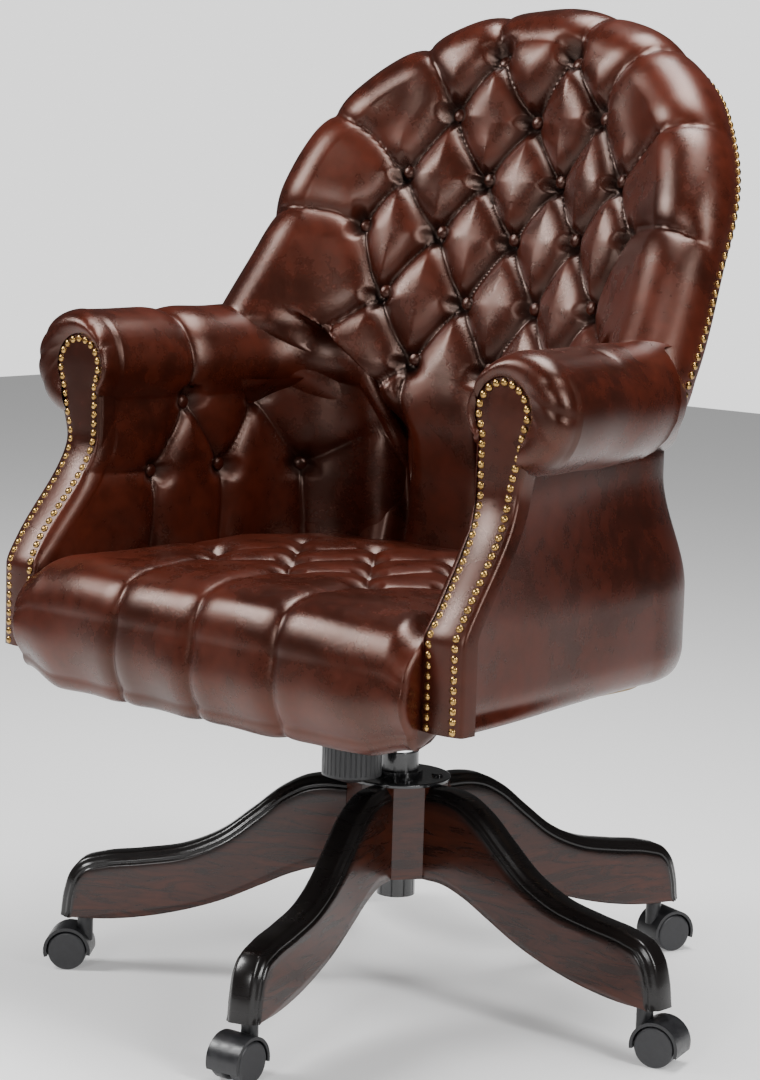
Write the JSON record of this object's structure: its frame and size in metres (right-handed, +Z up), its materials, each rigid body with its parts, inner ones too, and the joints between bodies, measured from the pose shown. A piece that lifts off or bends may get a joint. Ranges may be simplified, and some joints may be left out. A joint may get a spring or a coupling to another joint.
{
  "type": "swivel office chair",
  "caption": "Deep-buttoned leather swivel chair with a rounded hoop back, scroll arms, gas lift, tilt mechanism and a star base of moulded wooden legs on twin-wheel castors.",
  "frame": {"origin": "on the floor, under the axis of the lift column", "axes": "+Z up; -Y is the front of the seat; +X is the sitter's left"},
  "size_m": [0.7705, 0.7706, 1.098],
  "materials": {
    "leather": "antiqued oxblood hide, semi-gloss, darker in the folds",
    "walnut": "dark walnut stain under gloss lacquer",
    "plywood": "plain birch plywood",
    "black_steel": "gloss black enamel",
    "steel": "zinc-plated",
    "chromed_steel": "polished chrome plate",
    "black_plastic": "moulded, satin",
    "castor_nylon": "moulded nylon, semi-gloss",
    "brass_nails": "antiqued brass",
    "dust_cloth": "black non-woven cloth"
  },
  "bodies": {
    "base": {"leg_1": "walnut", "leg_2": "walnut", "leg_3": "walnut", "leg_4": "walnut", "leg_5": "walnut", "castor_sockets": "steel", "hub_core": "walnut", "hub_top_plate": "black_steel", "hub_screws": "steel", "hub_sleeve": "black_steel", "lift_outer_tube": "black_steel", "lift_guide_bush": "black_plastic"},
    "castor_1": {"castor_1_hood": "black_plastic", "castor_1_pins": "steel"},
    "castor_1_left": {"castor_1_wheel_left": "castor_nylon"},
    "castor_1_right": {"castor_1_wheel_right": "castor_nylon"},
    "castor_2": {"castor_2_hood": "black_plastic", "castor_2_pins": "steel"},
    "castor_2_left": {"castor_2_wheel_left": "castor_nylon"},
    "castor_2_right": {"castor_2_wheel_right": "castor_nylon"},
    "castor_3": {"castor_3_hood": "black_plastic", "castor_3_pins": "steel"},
    "castor_3_left": {"castor_3_wheel_left": "castor_nylon"},
    "castor_3_right": {"castor_3_wheel_right": "castor_nylon"},
    "castor_4": {"castor_4_hood": "black_plastic", "castor_4_pins": "steel"},
    "castor_4_left": {"castor_4_wheel_left": "castor_nylon"},
    "castor_4_right": {"castor_4_wheel_right": "castor_nylon"},
    "castor_5": {"castor_5_hood": "black_plastic", "castor_5_pins": "steel"},
    "castor_5_left": {"castor_5_wheel_left": "castor_nylon"},
    "castor_5_right": {"castor_5_wheel_right": "castor_nylon"},
    "lift_rod": {"lift_piston_rod": "steel", "lift_thrust_bearing": "steel", "lift_retaining_clip": "steel"},
    "lift_column": {"lift_cylinder": "chromed_steel", "mech_housing": "black_steel", "pivot_pin": "steel", "lever_pin": "steel", "tilt_spring": "steel"},
    "height_lever": {"height_lever": "steel", "lever_grip": "black_plastic"},
    "valve_button": {"valve_button": "steel"},
    "seat_body": {"seat_plate": "black_steel", "seat_bolts": "steel", "tension_bolt": "steel", "seat_board": "plywood", "dust_cover": "dust_cloth", "seat_cushion": "leather", "facing_left": "leather", "facing_right": "leather", "arm_left": "leather", "arm_right": "leather", "back_pad": "leather", "back_shell": "leather", "facing_nails": "brass_nails", "buttons": "leather"},
    "tension_knob": {"tension_knob": "black_plastic"}
  },
  "joints": [
    {"name": "castor_1_swivel", "type": "hinge", "parent": "base", "child": "castor_1", "pos_m": [0.35494, -0.00681, 0.062], "axis": [0, 0, 1], "continuous": true},
    {"name": "castor_1_left_roll", "type": "hinge", "parent": "castor_1", "child": "castor_1_left", "pos_m": [0.37233, -0.00219, 0.022], "axis": [-0.2571, 0.9664, 0], "continuous": true},
    {"name": "castor_1_right_roll", "type": "hinge", "parent": "castor_1", "child": "castor_1_right", "pos_m": [0.37233, -0.00219, 0.022], "axis": [-0.2571, 0.9664, 0], "continuous": true},
    {"name": "castor_2_swivel", "type": "hinge", "parent": "base", "child": "castor_2", "pos_m": [0.11616, 0.33546, 0.062], "axis": [0, 0, 1], "continuous": true},
    {"name": "castor_2_left_roll", "type": "hinge", "parent": "castor_2", "child": "castor_2_left", "pos_m": [0.12205, 0.35247, 0.022], "axis": [-0.9449, 0.3272, 0], "continuous": true},
    {"name": "castor_2_right_roll", "type": "hinge", "parent": "castor_2", "child": "castor_2_right", "pos_m": [0.12205, 0.35247, 0.022], "axis": [-0.9449, 0.3272, 0], "continuous": true},
    {"name": "castor_3_swivel", "type": "hinge", "parent": "base", "child": "castor_3", "pos_m": [-0.28314, 0.21414, 0.062], "axis": [0, 0, 1], "continuous": true},
    {"name": "castor_3_left_roll", "type": "hinge", "parent": "castor_3", "child": "castor_3_left", "pos_m": [-0.29671, 0.22597, 0.022], "axis": [-0.6574, -0.7536, 0], "continuous": true},
    {"name": "castor_3_right_roll", "type": "hinge", "parent": "castor_3", "child": "castor_3_right", "pos_m": [-0.29671, 0.22597, 0.022], "axis": [-0.6574, -0.7536, 0], "continuous": true},
    {"name": "castor_4_swivel", "type": "hinge", "parent": "base", "child": "castor_4", "pos_m": [-0.29115, -0.20311, 0.062], "axis": [0, 0, 1], "continuous": true},
    {"name": "castor_4_left_roll", "type": "hinge", "parent": "castor_4", "child": "castor_4_left", "pos_m": [-0.30536, -0.21417, 0.022], "axis": [0.6143, -0.7891, 0], "continuous": true},
    {"name": "castor_4_right_roll", "type": "hinge", "parent": "castor_4", "child": "castor_4_right", "pos_m": [-0.30536, -0.21417, 0.022], "axis": [0.6143, -0.7891, 0], "continuous": true},
    {"name": "castor_5_swivel", "type": "hinge", "parent": "base", "child": "castor_5", "pos_m": [0.1032, -0.33967, 0.062], "axis": [0, 0, 1], "continuous": true},
    {"name": "castor_5_left_roll", "type": "hinge", "parent": "castor_5", "child": "castor_5_left", "pos_m": [0.10474, -0.3576, 0.022], "axis": [0.9963, 0.0854, 0], "continuous": true},
    {"name": "castor_5_right_roll", "type": "hinge", "parent": "castor_5", "child": "castor_5_right", "pos_m": [0.10474, -0.3576, 0.022], "axis": [0.9963, 0.0854, 0], "continuous": true},
    {"name": "seat_swivel", "type": "hinge", "parent": "base", "child": "lift_rod", "pos_m": [0, 0, 0.1213], "axis": [0, 0, 1], "continuous": true},
    {"name": "seat_height", "type": "slide", "parent": "lift_rod", "child": "lift_column", "axis": [0, 0, 1], "range_m": [0, 0.08]},
    {"name": "lever_lift", "type": "hinge", "parent": "lift_column", "child": "height_lever", "pos_m": [-0.042, 0, 0.3555], "axis": [0, 1, 0], "range_deg": [0, 4], "stiffness_Nm_per_rad": 1},
    {"name": "valve_press", "type": "slide", "parent": "lift_column", "child": "valve_button", "axis": [0, 0, -1], "range_m": [0, 0.0036]},
    {"name": "seat_tilt", "type": "hinge", "parent": "lift_column", "child": "seat_body", "pos_m": [0, 0.042, 0.352], "axis": [-1, 0, 0], "range_deg": [0, 10], "stiffness_Nm_per_rad": 260, "springref_deg": -4.58, "deforming": ["tilt_spring"]},
    {"name": "tension_adjust", "type": "hinge", "parent": "seat_body", "child": "tension_knob", "pos_m": [0, -0.08, 0.257], "axis": [0, 0, 1], "range_deg": [-360, 360]}
  ],
  "couplings": [
    {"joint": "valve_press", "follows": "lever_lift", "m_per_rad": 0.05}
  ]
}
